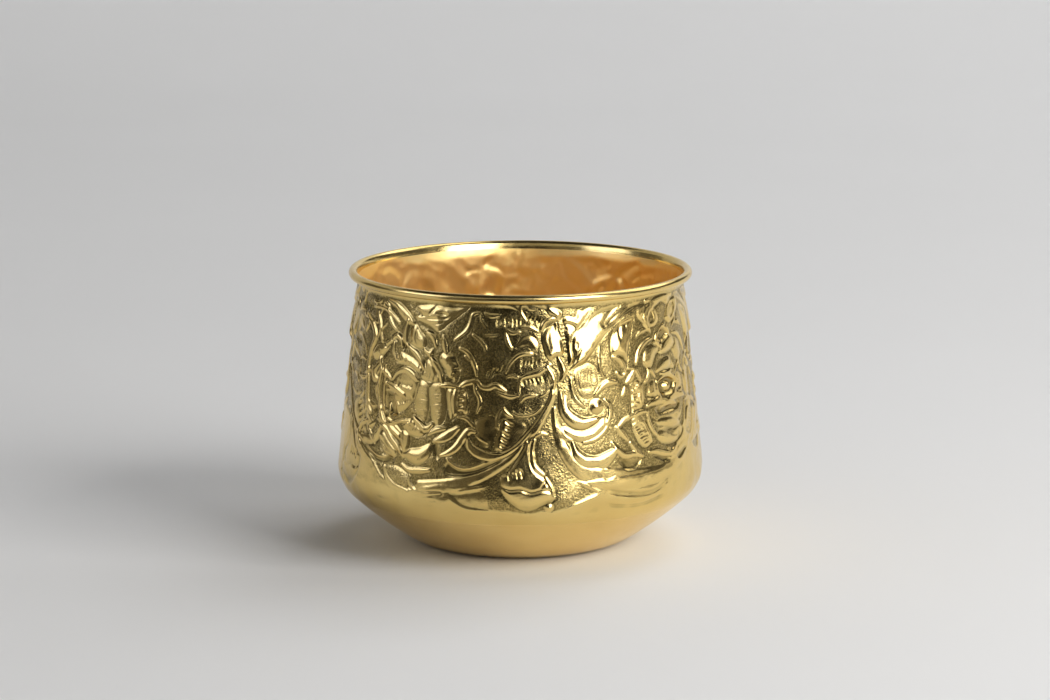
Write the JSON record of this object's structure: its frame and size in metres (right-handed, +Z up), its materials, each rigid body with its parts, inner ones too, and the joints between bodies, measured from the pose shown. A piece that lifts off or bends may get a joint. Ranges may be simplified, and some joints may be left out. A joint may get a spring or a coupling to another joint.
{
  "type": "water pot",
  "caption": "Wide-mouthed round water pot of embossed brass sheet, with a rolled wired rim, a rounded shoulder and a spun base pan that stands on a flat face.",
  "frame": {"origin": "centre of the flat base, on the surface that the pot stands on", "axes": "+Z up along the pot's axis of revolution, out of the mouth; +X and +Y are any two level directions, with -Y facing the viewer of the front"},
  "size_m": [0.15, 0.15, 0.1125],
  "materials": {
    "wall_brass": "embossed, polished high spots over a stippled ground",
    "wire_brass": "drawn wire",
    "pan_brass": "spun and polished",
    "braze_spelter": "filed brazing metal"
  },
  "bodies": {
    "root": {"wall_shell": "wall_brass", "rim_wire": "wire_brass", "base_pan": "pan_brass", "seam_braze": "braze_spelter"}
  },
  "joints": []
}
